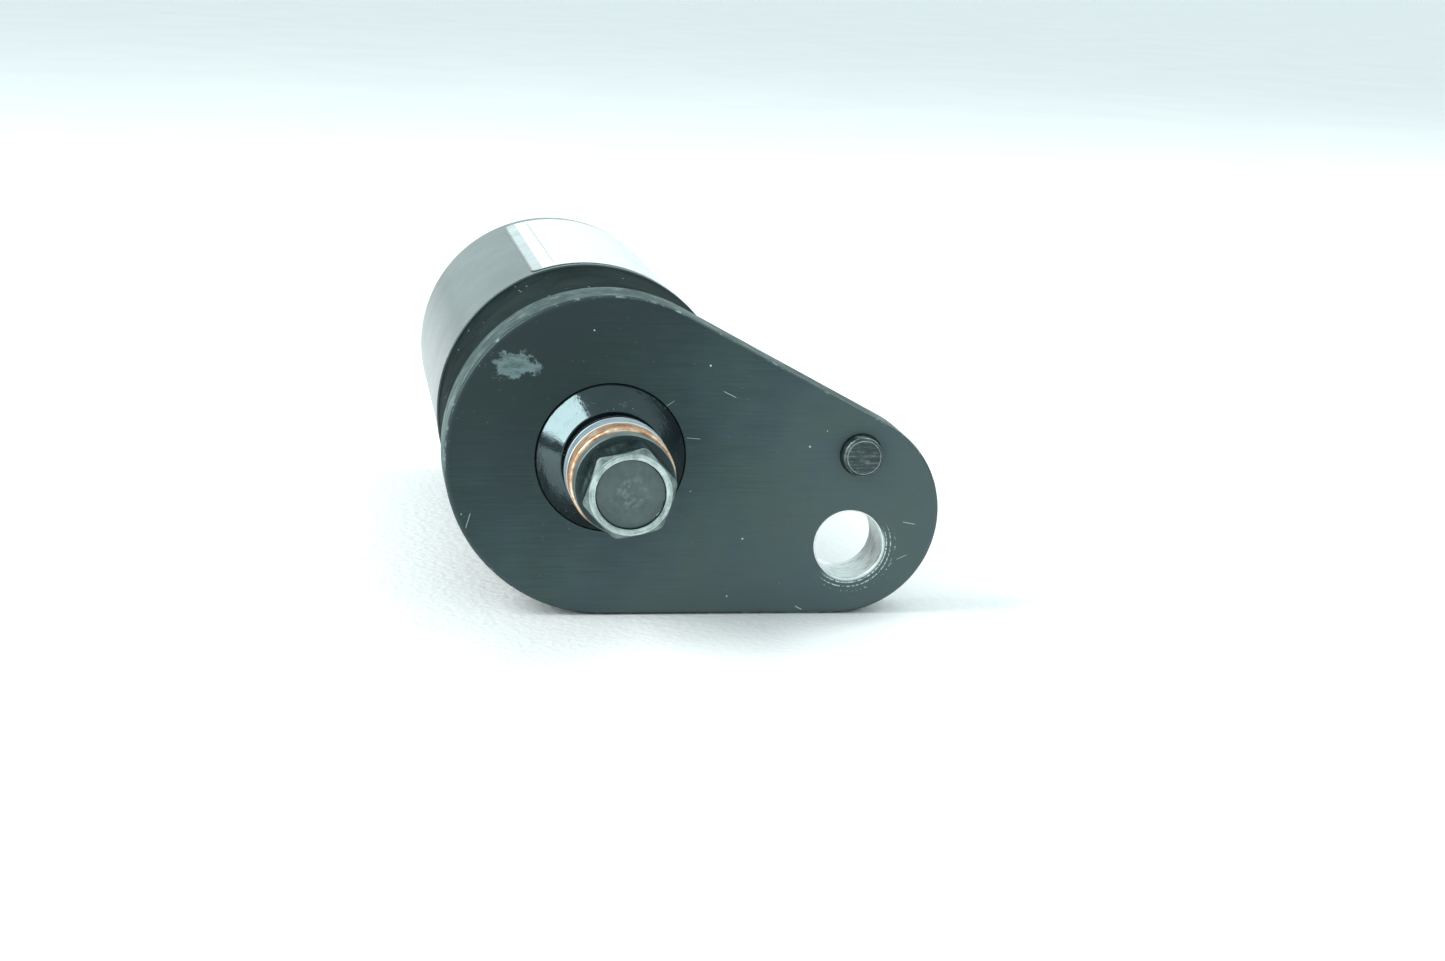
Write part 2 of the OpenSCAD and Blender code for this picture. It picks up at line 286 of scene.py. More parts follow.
def plain(name, dark, light, rough, metal=0.0, spots=160.0, grain=2500.0, depth=4e-6):
    """A material with mottled colour, uneven gloss and a fine grain."""
    f = Finish(name, light, 0.5, metal)
    f.set("Base Color", f.mottled(f.noise(spots, 4.0, 0.6), dark, light))
    f.rough(f.noise(spots * 2.3, 3.0), *rough)
    f.bump(f.noise(grain, 3.0), depth)
    return f.mat


def turned(name, dark, light, rough, metal, fine=5000.0, **constants):
    """A lathe-turned material: rings round the canister's axis in colour, gloss and relief."""
    f = Finish(name, light, 0.5, metal, **constants)
    marks = f.rings(fine)
    tone = f.weigh(marks, 0.55, f.noise(90.0, 4.0, 0.6))
    f.set("Base Color", f.mottled(tone, dark, light, 0.35, 0.65))
    f.rough(marks, *rough)
    f.bump(marks, 3e-6)
    return f.mat


# ---------------------------------------------------------------- finishes


def make_plate_face():
    f = Finish(
        "plate_face", (0.014, 0.026, 0.028), 0.42, Specular_IOR_Level=0.25, Specular_Tint=COLD
    )
    cloudy = f.noise(34.0, 5.0, 0.6)
    marks = f.noise(1.0, 3.0, 0.6, f.placed(scale=(70, 900, 2100)))
    parts = f.node("ShaderNodeSeparateXYZ", {0: f.at})
    # Darker at the upper left and lighter towards the hole
    lean = f.calc("SUBTRACT", f.times(parts.outputs[0], 0.9), parts.outputs[2])
    uneven = f.calc("ADD", f.times(cloudy, 0.06), f.times(marks, 0.035))
    faded = f.span(f.calc("ADD", lean, uneven), -50 * MM, 60 * MM)
    greens = (
        (0.021, 0.031, 0.030), (0.035, 0.054, 0.052), (0.060, 0.085, 0.082), (0.079, 0.105, 0.098)
    )
    blues = (
        (0.022, 0.030, 0.033), (0.033, 0.051, 0.057), (0.056, 0.079, 0.088), (0.074, 0.100, 0.106)
    )
    green, blue = (
        f.ramp(faded, list(zip((0.0, 0.24, 0.6, 1.0), tones))) for tones in (greens, blues)
    )
    base = f.blend(f.span(f.noise(52.0, 3.0), 0.4, 0.6), green, blue)
    # Grey smear at the upper left
    smear_at = (AXIS_X - 19.4 * MM, 0, AXIS_Z + 18.4 * MM)
    local = f.placed(shift=tuple(-v for v in smear_at))
    leant = f.placed(turn=(0, math.radians(-14), 0), scale=(1.0, 1.0, 1.7), source=local)
    size = f.node("ShaderNodeVectorMath", {0: leant}, operation="LENGTH").outputs["Value"]
    frayed = f.times(f.calc("SUBTRACT", f.noise(260.0, 5.0, 0.75), 0.5), 16 * MM)
    ragged = f.calc("ADD", size, frayed)
    combed = f.placed(turn=(0, math.radians(-28), 0), scale=(240, 300, 1100))
    streaks = f.noise(1.0, 3.0, 0.7, combed)
    smear = f.times(f.span(ragged, 5.0 * MM, 3.6 * MM), f.span(streaks, 0.34, 0.6, 0.45, 1.0))
    # Rings (radius, width, share left out) that a washer rubbed at the lower right of the hole
    hole = (HOLE_AT[0], 0, HOLE_AT[1])
    side = f.calc("SUBTRACT", f.times(parts.outputs[0], 0.75), parts.outputs[2])
    lower_right = f.span(side, 0.5 * MM, 6.0 * MM)
    broken = f.noise(1500.0, 4.0, 0.8)
    from_hole = f.away(hole)
    rubbed = []
    for radius, wide, cut in (
        (7.35, 0.4, 0.36), (7.95, 0.2, 0.44), (8.8, 0.16, 0.47), (9.8, 0.3, 0.57)
    ):
        off = f.calc("ABSOLUTE", f.calc("SUBTRACT", from_hole, radius * MM))
        shown = f.span(broken, cut, cut + 0.05)
        rubbed.append(f.times(f.span(off, wide * MM, wide * 0.3 * MM), shown))
    rub = f.times(f.add(*rubbed), lower_right)
    # Specks, thicker in a few places (x and z from the hole, radius)
    crowds = []
    for dx, dz, reach in (
        (-7.5, 23.0, 6.0), (-21.0, 4.5, 6.5), (-17.5, 14.5, 3.5), (-13.5, -7.5, 5.0)
    ):
        crowds.append(f.span(f.away((dx * MM, 0, dz * MM)), reach * MM, reach * 0.35 * MM))
    dots = f.flecks(780.0, (0.19, 0.1), 420.0, (0.56, 0.62))
    specks = f.times(dots, f.calc("ADD", f.add(*crowds), 0.05), clamp=True)
    specks = f.add(specks, f.flecks(300.0, (0.075, 0.04), 210.0, (0.6, 0.66), 1.0))
    # Hairlines, and single scratches (x and z from the hole, lean, half length, half width)
    fine_lines = f.add(f.hairlines(0.5), f.hairlines(-0.9, cut=0.74), f.hairlines(1.35, cut=0.75))
    scratches = []
    for dx, dz, lean, long, wide in (
        (12.4, 4.6, -0.18, 1.5, 0.09),
        (11.3, -2.6, 0.42, 1.3, 0.07),
        (-9.8, -13.3, -0.5, 0.9, 0.13),
        (-38.0, 29.0, 0.62, 1.2, 0.06),
        (-77.5, 5.0, 1.3, 1.8, 0.08),
        (-33.0, 22.0, -0.08, 1.6, 0.07),
        (-26.0, 31.0, -0.45, 1.6, 0.08),
    ):
        scratches.append(f.scratch((dx * MM, dz * MM), lean, long * MM, wide * MM))
    worn = f.add(rub, f.times(f.add(*scratches), 0.7), specks)
    base = f.blend(f.times(fine_lines, 0.35), base, (0.07, 0.11, 0.115))
    base = f.blend(smear, base, (0.165, 0.225, 0.228))
    base = f.blend(worn, base, (0.56, 0.64, 0.63))
    f.set("Base Color", base)
    gloss = f.span(f.noise(60.0, 4.0, 0.6), 0.3, 0.7, 0.36, 0.5)
    f.set("Roughness", f.add(gloss, f.times(smear, 0.25), f.times(fine_lines, 0.08)))
    f.bump(f.noise(1500.0, 3.0, 0.6), 5e-6)
    f.bump(marks, 4e-6)
    f.bump(f.noise(60.0, 2.0), 4e-5, 0.6)
    return f.mat


def make_plate_rim():
    f = Finish("plate_rim", (0.1, 0.14, 0.14), 0.45, Specular_IOR_Level=0.01, Specular_Tint=COLD)
    streak = f.noise(1.0, 4.0, 0.7, f.placed(scale=(40, 1900, 40)))
    patch = f.noise(260.0, 5.0, 0.75)
    wide = f.noise(42.0, 3.0, 0.6)
    tone = f.span(f.weigh(streak, 0.5, patch), 0.36, 0.64)
    stops = [(0.0, (0.045, 0.066, 0.064)), (0.6, (0.135, 0.18, 0.174)), (1.0, (0.3, 0.36, 0.35))]
    base = f.ramp(tone, stops)
    base = f.blend(f.span(wide, 0.62, 0.42, 0.0, 0.5), base, (0.02, 0.034, 0.034))
    f.set("Base Color", base)
    f.rough(patch, 0.42, 0.62)
    f.bump(streak, 1.2e-5)
    f.bump(f.noise(900.0, 4.0, 0.7), 8e-6)
    return f.mat


def make_plate_edge(name, bare, share):
    """A rubbed edge of the plate, black with bare metal showing; a low share shows more."""
    f = Finish(name, bare, 0.4, Specular_IOR_Level=0.3, Specular_Tint=COLD)
    wear = f.noise(420.0, 5.0, 0.75)
    long = f.noise(26.0, 3.0, 0.6)
    shown = f.span(f.weigh(wear, 0.6, long), share, share + 0.12)
    f.set("Base Color", f.blend(shown, (0.02, 0.034, 0.035), bare))
    f.set("Metallic", f.times(shown, 0.7))
    f.rough(wear, 0.3, 0.48)
    f.bump(wear, 1e-5)
    return f.mat


def make_bore():
    f = Finish("bore_bare", (0.8, 0.83, 0.82), 0.3, 1.0)
    marks = f.rings(2300.0, 1.1, 4.0, HOLE_AT)
    tone = f.span(f.weigh(marks, 0.6, f.noise(330.0, 4.0, 0.7)), 0.33, 0.6)
    stops = [(0.0, (0.3, 0.33, 0.32)), (0.45, (0.72, 0.75, 0.74)), (1.0, (0.93, 0.95, 0.94))]
    f.set("Base Color", f.ramp(tone, stops))
    f.rough(marks, 0.38, 0.6)
    f.bump(marks, 2e-5)
    return f.mat


def make_neck():
    f = Finish(
        "neck_black", (0.014, 0.02, 0.02), 0.55, Specular_IOR_Level=0.002, Specular_Tint=COLD
    )
    marks = f.rings(3300.0, 1.6)
    cloudy = f.noise(55.0, 4.0, 0.6)
    base = f.mottled(cloudy, (0.009, 0.014, 0.014), (0.020, 0.029, 0.029))
    rub = f.hairlines(0.15, fine=1900.0, cut=0.7)
    dots = f.flecks(420.0, (0.12, 0.06), 160.0, (0.55, 0.6))
    f.set("Base Color", f.blend(f.add(f.times(rub, 0.3), dots), base, (0.4, 0.45, 0.44)))
    f.rough(marks, 0.46, 0.6)
    f.bump(marks, 1.6e-5)
    f.bump(f.noise(1300.0, 3.0), 3e-6)
    return f.mat


def make_shell():
    f = Finish(
        "shell_black",
        (0.02, 0.028, 0.028),
        0.3,
        Coat_Weight=0.25,
        Coat_Roughness=0.12,
        Specular_Tint=COLD,
    )
    cloudy = f.noise(26.0, 4.0, 0.6)
    base = f.mottled(cloudy, (0.013, 0.02, 0.0205), (0.022, 0.032, 0.033))
    dust = f.flecks(520.0, (0.11, 0.05), 90.0, (0.6, 0.68))
    f.set("Base Color", f.blend(f.times(dust, 0.6), base, (0.3, 0.34, 0.34)))
    f.rough(f.noise(75.0, 4.0, 0.6), 0.27, 0.31)
    f.bump(f.noise(520.0, 2.0, 0.4), 3e-6)
    return f.mat


def make_boss():
    f = Finish(
        "boss_gloss", (0.006, 0.008, 0.009), 0.09, Specular_IOR_Level=0.75, Specular_Tint=COLD
    )
    cloudy = f.noise(120.0, 4.0, 0.6)
    base = f.mottled(cloudy, (0.004, 0.006, 0.007), (0.011, 0.016, 0.018))
    dust = f.flecks(900.0, (0.15, 0.07), 260.0, (0.56, 0.62))
    rub = f.hairlines(0.2, fine=3000.0, long=120.0, cut=0.68)
    pale = f.add(f.times(dust, 0.6), f.times(rub, 0.35))
    f.set("Base Color", f.blend(pale, base, (0.3, 0.35, 0.36)))
    f.set("Roughness", f.span(f.noise(260.0, 4.0, 0.65), 0.4, 0.75, 0.07, 0.2))
    f.bump(f.noise(210.0, 5.0, 0.7), 1.1e-4)
    f.bump(f.noise(1300.0, 2.0, 0.5), 4e-6)
    return f.mat


def make_plug_dark():
    f = Finish("plug_dark", (0.02, 0.032, 0.032), 0.34, Specular_Tint=COLD)
    cloudy = f.noise(240.0, 5.0, 0.65)
    drawn = f.noise(1.0, 3.0, 0.6, f.placed(scale=(1600, 60, 1600)))
    tone = f.span(f.weigh(cloudy, 0.7, drawn), 0.34, 0.7)
    stops = [(0.0, (0.004, 0.007, 0.007)), (0.6, (0.012, 0.02, 0.02)), (1.0, (0.045, 0.062, 0.06))]
    base = f.ramp(tone, stops)
    nick = f.flecks(700.0, (0.16, 0.08), 330.0, (0.6, 0.66))
    f.set("Base Color", f.blend(nick, base, (0.34, 0.39, 0.37)))
    f.rough(cloudy, 0.24, 0.44)
    f.bump(f.noise(900.0, 4.0, 0.6), 1e-5)
    return f.mat


def make_plug_worn():
    f = Finish("plug_worn", (0.3, 0.36, 0.34), 0.36, 0.75)
    cloudy = f.noise(380.0, 5.0, 0.7)
    tone = f.span(f.weigh(cloudy, 0.55, f.rings(3800.0, 1.5)), 0.33, 0.66)
    stops = [(0.0, (0.14, 0.18, 0.17)), (0.5, (0.37, 0.445, 0.42)), (1.0, (0.6, 0.67, 0.64))]
    f.set("Base Color", f.ramp(tone, stops))
    f.rough(cloudy, 0.3, 0.5)
    f.bump(f.noise(1100.0, 4.0, 0.6), 1e-5)
    return f.mat


def make_plug_dish():
    f = Finish("plug_dish", (0.05, 0.07, 0.07), 0.5, 0.2)
    cloudy = f.noise(300.0, 5.0, 0.7, twist=0.6)
    middle = f.span(f.away((AXIS_X, front("port_plug") * MM, AXIS_Z)), 5.4 * MM, 1.0 * MM)
    rubbed = f.times(middle, f.span(f.noise(620.0, 4.0, 0.7), 0.47, 0.62))
    base = f.mottled(cloudy, (0.056, 0.082, 0.08), (0.09, 0.122, 0.118))
    f.set("Base Color", f.blend(f.times(rubbed, 0.4), base, (0.25, 0.3, 0.29)))
    f.rough(cloudy, 0.42, 0.6)
    f.bump(f.noise(800.0, 4.0, 0.7), 1.4e-5)
    return f.mat


def make_pin():
    f = Finish("pin_steel", (0.03, 0.045, 0.046), 0.42, 0.3)
    lean = f.placed(turn=(0, math.radians(62), 0), scale=(260, 260, 2100))
    combed = f.noise(1.0, 4.0, 0.7, lean)
    tone = f.span(f.weigh(combed, 0.6, f.noise(520.0, 4.0, 0.65)), 0.36, 0.7)
    stops = [(0.0, (0.014, 0.022, 0.023)), (0.55, (0.04, 0.06, 0.061)), (1.0, (0.16, 0.2, 0.2))]
    f.set("Base Color", f.ramp(tone, stops))
    f.rough(combed, 0.34, 0.52)
    f.bump(combed, 1.4e-5)
    return f.mat


def make_copper():
    f = Finish("copper_ring", (0.62, 0.43, 0.28), 0.5, 0.85)
    marks = f.rings(3600.0, 1.6, 4.0)
    tone = f.weigh(marks, 0.5, f.noise(330.0, 5.0, 0.7))
    stops = [(0.0, (0.2, 0.095, 0.05)), (0.42, (0.55, 0.32, 0.185)), (1.0, (0.98, 0.8, 0.62))]
    f.set("Base Color", f.ramp(f.span(tone, 0.36, 0.64), stops))
    f.rough(tone, 0.62, 0.45)
    f.bump(marks, 1e-5)
    return f.mat


def make_label():
    f = Finish("label_white", (0.72, 0.7, 0.7), 0.28, Coat_Weight=0.3, Coat_Roughness=0.08)
    sheet = f.node("ShaderNodeUVMap", uv_map="sheet").outputs[0]
    parts = f.node("ShaderNodeSeparateXYZ", {0: sheet})
    u, v = parts.outputs[0], parts.outputs[1]

    soft, half_line, frame_in = 0.06, 0.12, 5.4

    def inside(value, low, high):
        above = f.span(value, (low - soft) * MM, (low + soft) * MM)
        return f.times(above, f.span(value, (high + soft) * MM, (high - soft) * MM))

    def past(value, size):
        """How far a place is into the corner's square, one way."""
        off = f.calc("ABSOLUTE", f.calc("SUBTRACT", value, size / 2 * MM))
        return f.calc("MAXIMUM", f.calc("SUBTRACT", off, (size / 2 - LABEL_CORNER) * MM), 0.0)

    to_edge = f.node(
        "ShaderNodeVectorMath",
        {0: f.node("ShaderNodeCombineXYZ", {0: past(u, LABEL_W), 1: past(v, LABEL_L)}).outputs[0]},
        operation="LENGTH",
    ).outputs["Value"]
    outline = f.span(to_edge, (LABEL_CORNER - 0.6) * MM, (LABEL_CORNER - 0.25) * MM)
    across = inside(u, LABEL_MARGIN, LABEL_W - LABEL_MARGIN)
    paper = f.times(across, inside(v, 0.9, LABEL_L - 0.9))
    # Ruled frame and blank fields: (place, start, end)
    frame_right, frame_end = LABEL_W - frame_in, LABEL_L - 5.0
    rows = [(5.0, frame_in, frame_right), (frame_end, frame_in, frame_right)]
    rows += [(row, 9.0, 66.0) for row in (8.0, 17.0, 26.0, 35.0, 44.0, 53.0)]
    columns = [(frame_in, 5.0, frame_end), (frame_right, 5.0, frame_end), (30.0, 8.0, 53.0)]
    ruled = []
    for way, along, places in ((v, u, rows), (u, v, columns)):
        for at, start, end in places:
            ruled.append(
                f.times(inside(way, at - half_line, at + half_line), inside(along, start, end))
            )
    lines = f.add(*ruled)
    faded = f.span(f.noise(700.0, 3.0), 0.3, 0.6, 0.45, 0.9)
    white = f.mottled(f.noise(60.0, 3.0), (0.68, 0.66, 0.655), (0.73, 0.71, 0.705))
    film = f.mottled(f.noise(150.0, 4.0), (0.3, 0.34, 0.34), (0.4, 0.44, 0.44))
    sheet = f.blend(paper, film, f.blend(f.times(lines, faded), white, (0.1, 0.11, 0.12)))
    f.set("Base Color", f.blend(f.times(outline, 0.85), sheet, (0.02, 0.028, 0.028)))
    f.rough(f.noise(200.0, 3.0), 0.22, 0.34)
    f.bump(f.noise(420.0, 2.0), 4e-6)
    return f.mat


def make_floor():
    f = Finish("table_white", (0.9, 0.92, 0.92), 0.5, Specular_IOR_Level=0.5)
    grain = f.add(f.times(f.noise(520.0, 4.0, 0.6), 0.7), f.times(f.cells(600.0), 0.3))
    f.set("Base Color", f.mottled(f.noise(9.0, 3.0), (0.9, 0.885, 0.88), (0.93, 0.915, 0.91)))
    f.bump(grain, 3.4e-4, 0.9)
    return f.mat


LABEL_W = 83.5
LABEL_L = rear("rating_label") - front("rating_label")
LABEL_MARGIN = 2.6
LABEL_CORNER = 2.6

PLATE_FACE = make_plate_face()
PLATE_RIM = make_plate_rim()
PLATE_FRONT_EDGE = make_plate_edge("plate_front_edge", (0.2, 0.25, 0.25), 0.52)
PLATE_BACK_EDGE = make_plate_edge("plate_back_edge", (0.5, 0.56, 0.55), 0.36)
BORE = make_bore()
NECK = make_neck()
SHELL = make_shell()
BOSS = make_boss()
PLUG_DARK = make_plug_dark()
PLUG_WORN = make_plug_worn()
PLUG_DISH = make_plug_dish()
PLUG_SIDE = turned("plug_side", (0.06, 0.085, 0.084), (0.2, 0.25, 0.245), (0.34, 0.5), 0.5, 2600.0)
PLUG_FADED = plain(
    "plug_faded", (0.06, 0.085, 0.082), (0.2, 0.25, 0.24), (0.36, 0.52), 0.4, 420.0, 1400.0, 8e-6
)
PIN = make_pin()
COPPER = make_copper()
LABEL = make_label()
SHELL_EDGE = turned(
    "shell_edge",
    (0.008, 0.012, 0.012),
    (0.02, 0.028, 0.028),
    (0.5, 0.65),
    0.0,
    Specular_IOR_Level=0.15,
)
ZINC = turned("zinc_bright", (0.36, 0.44, 0.48), (0.6, 0.69, 0.74), (0.46, 0.6), 0.85, 3000.0)
STEEL = plain("steel_ground", (0.4, 0.42, 0.43), (0.66, 0.68, 0.69), (0.22, 0.36), 1.0)
PLATED = turned("valve_plated", (0.34, 0.36, 0.36), (0.6, 0.61, 0.6), (0.26, 0.42), 1.0, 2400.0)
RUBBER = plain(
    "rubber_black",
    (0.012, 0.013, 0.013),
    (0.028, 0.03, 0.03),
    (0.48, 0.66),
    0.0,
    300.0,
    1800.0,
    8e-6,
)
WASHER = turned(
    "washer_black", (0.008, 0.01, 0.011), (0.02, 0.024, 0.026), (0.14, 0.3), 0.0, 3000.0
)
PTFE = plain("ptfe_white", (0.74, 0.73, 0.69), (0.86, 0.85, 0.82), (0.4, 0.55), 0.0, 200.0, 1500.0)
BRONZE = plain(
    "bronze_sinter", (0.3, 0.21, 0.1), (0.62, 0.48, 0.27), (0.45, 0.7), 0.9, 700.0, 3200.0, 2e-5
)
PISTON = turned("piston_turned", (0.45, 0.46, 0.48), (0.72, 0.73, 0.75), (0.24, 0.4), 1.0, 2600.0)
GUIDE = plain(
    "guide_phenolic", (0.16, 0.08, 0.035), (0.34, 0.2, 0.1), (0.45, 0.62), 0.0, 420.0, 2400.0, 8e-6
)
SLIDE = plain(
    "slide_bronze_filled", (0.09, 0.065, 0.04), (0.2, 0.15, 0.095), (0.36, 0.5), 0.2, 900.0, 2600.0
)
BRASS = turned("brass_turned", (0.5, 0.33, 0.1), (0.8, 0.6, 0.27), (0.2, 0.36), 1.0, 4200.0)
PLASTIC = plain(
    "cap_plastic",
    (0.012, 0.0125, 0.013),
    (0.026, 0.028, 0.029),
    (0.38, 0.52),
    0.0,
    260.0,
    1500.0,
    1.2e-5,
)

# ---------------------------------------------------------------- mesh tools


SHARP = math.radians(34)  # an edge that turns more than this stays an edge
FILLET_SHARE = 0.48  # the most of a side that one fillet takes


def even(count):
    """Angles of a full turn, in equal steps."""
    return [2 * math.pi * i / count for i in range(count)]


def rounded(corners, closed, steps=5):
    """Profile points (r, y, finish) from corners (r, y, fillet, finish[, finish of the fillet])."""
    points = []
    last = len(corners) - 1
    for i, (r, y, fillet, finish, *edge) in enumerate(corners):
        here = Vector((r, y))
        if fillet == 0 or (not closed and i in (0, last)):
            points.append((r, y, finish))
            continue
        to_last = Vector(corners[i - 1][:2]) - here
        to_next = Vector(corners[(i + 1) % len(corners)][:2]) - here
        half = to_last.angle(to_next) / 2
        cut = min(
            fillet / math.tan(half), FILLET_SHARE * to_last.length, FILLET_SHARE * to_next.length
        )
        inward = (to_last.normalized() + to_next.normalized()).normalized()
        middle = here + inward * cut / math.cos(half)
        start = here + to_last.normalized() * cut - middle
        end = here + to_next.normalized() * cut - middle
        sweep = start.angle_signed(end)
        for k in range(steps + 1):
            swept = start.copy()
            swept.rotate(Matrix.Rotation(-sweep * k / steps, 2))
            tone = finish if k == steps or not edge else edge[0]
            points.append((middle.x + swept.x, middle.y + swept.y, tone))
    return points


def ring_of(bm, angles, centre, r, y):
    """A ring of vertices; r and y are numbers or one value for each angle, in millimetres."""
    if not isinstance(r, list) and abs(r) < 1e-6:
        return [bm.verts.new((centre[0], y * MM, centre[1]))]
    made = []
    for i, a in enumerate(angles):
        radius = (r[i] if isinstance(r, list) else r) * MM
        depth = (y[i] if isinstance(y, list) else y) * MM
        at = (centre[0] + radius * math.cos(a), depth, centre[1] + radius * math.sin(a))
        made.append(bm.verts.new(at))
    return made


def bridge(bm, a, b, finish):
    """Faces between two rings of vertices; a ring of one vertex is a point on the axis."""
    if len(a) == 1 and len(b) == 1:
        return
    count = max(len(a), len(b))
    for i in range(count):
        j = (i + 1) % count
        corners = [a[i % len(a)], a[j % len(a)], b[j % len(b)], b[i % len(b)]]
        face = bm.faces.new(list(dict.fromkeys(corners)))
        face.material_index = finish


def finish_piece(bm, name, finishes, body, stands_for):
    """Turns a bmesh into a visible piece that rides on a body and replaces CAD nodes."""
    bmesh.ops.recalc_face_normals(bm, faces=bm.faces)
    mesh = bpy.data.meshes.new(name)
    bm.to_mesh(mesh)
    bm.free()
    for material in finishes:
        mesh.materials.append(material)
    mesh.polygons.foreach_set("use_smooth", [True] * len(mesh.polygons))
    mesh.set_sharp_from_angle(angle=SHARP)
    piece = bpy.data.objects.new(name, mesh)
    bpy.context.scene.collection.objects.link(piece)
    even_out = piece.modifiers.new("normals", "WEIGHTED_NORMAL")
    even_out.keep_sharp = True
    even_out.weight = 100
    if body:
        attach(piece, body)
    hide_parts(*stands_for)
    return piece


def loft(name, angles, rings, centre, finishes, body, stands_for, closed=True):
    """A solid from rings (r, y, finish) round an axis that is parallel to the canister."""
    bm = bmesh.new()
    made = [ring_of(bm, angles, centre, r, y) for r, y, _ in rings]
    for i in range(len(made) if closed else len(made) - 1):
        bridge(bm, made[i], made[(i + 1) % len(made)], rings[i][2])
    finish_piece(bm, name, finishes, body, stands_for)


def lathe(name, corners, centre, finishes, body, stands_for, closed=True, count=160, steps=5):
    """A turned solid from the corners of its profile."""
    rings = rounded(corners, closed, steps)
    loft(name, even(count), rings, centre, finishes, body, stands_for, closed)


def hexagon(across, corner, turn, per_side=12, per_corner=6):
    """(angles, radii) of a hexagon with rounded corners."""
    inner = across / 2 - corner
    points = []
    for k in range(6):
        a = math.radians(turn + 60 * k)
        at = Vector((math.cos(a), math.sin(a))) * inner / math.cos(math.pi / 6)
        for i in range(per_corner + 1):
            b = a + math.radians(-30 + 60 * i / per_corner)
            points.append(at + corner * Vector((math.cos(b), math.sin(b))))
        after = math.radians(turn + 60 * (k + 1))
        begin = points[-1]
        end = Vector((math.cos(after), math.sin(after))) * inner / math.cos(math.pi / 6)
        end = end + corner * Vector((math.cos(after - math.pi / 6), math.sin(after - math.pi / 6)))
        points.extend(begin.lerp(end, i / per_side) for i in range(1, per_side))
    return [math.atan2(p.y, p.x) for p in points], [p.length for p in points]


def thread_rings(angles, crest, deep, pitch, start, end, finish, step=0.1):
    """A right-handed thread cut into a shaft between two places, fading out at both."""
    rings = []
    count = round(abs(end - start) / step)
    for k in range(count + 1):
        y = start + (end - start) * k / count
        fade = min(1.0, min(abs(y - start), abs(end - y)) / (0.9 * pitch))
        radii = []
        for a in angles:
            phase = (y / pitch + a / (2 * math.pi)) % 1.0
            groove = max(0.0, min(1.0, (1 - abs(2 * phase - 1)) * 1.5 - 0.15))
            radii.append(crest - deep * groove * fade)
        rings.append((radii, y, finish))
    return rings


# ---------------------------------------------------------------- the mounting plate and its pin

BOSS_FOOT_R, BOSS_SHANK_R, BOSS_SINK = 15.0, 11.0, 1.2
PIN_R, PIN_SHANK_R, PIN_CUT = 4.0, 3.8, 0.6


def teardrop(inset, arc=150, ear_arc=90, straight=14):
    """Outline of the plate, inset from its edge, as (x, z) in metres."""
    big, ear = Vector(BIG_AT), Vector(EAR_AT)
    lean = math.atan2(ear.y - big.y, ear.x - big.x)
    spread = math.acos((BIG_R - EAR_R) * MM / (ear - big).length)
    points = []
    for centre, radius, start, sweep, count in (
        (big, BIG_R, lean + spread, 2 * (math.pi - spread), arc),
        (ear, EAR_R, lean - spread, 2 * spread, ear_arc),
    ):
        for i in range(count + 1):
            a = start + sweep * i / count
            points.append(centre + (radius - inset) * MM * Vector((math.cos(a), math.sin(a))))
        if centre is big:
            a = lean - spread
            end = ear + (EAR_R - inset) * MM * Vector((math.cos(a), math.sin(a)))
        else:
            end = points[0]
        begin = points[-1]
        points.extend(begin.lerp(end, i / straight) for i in range(1, straight))
    return points


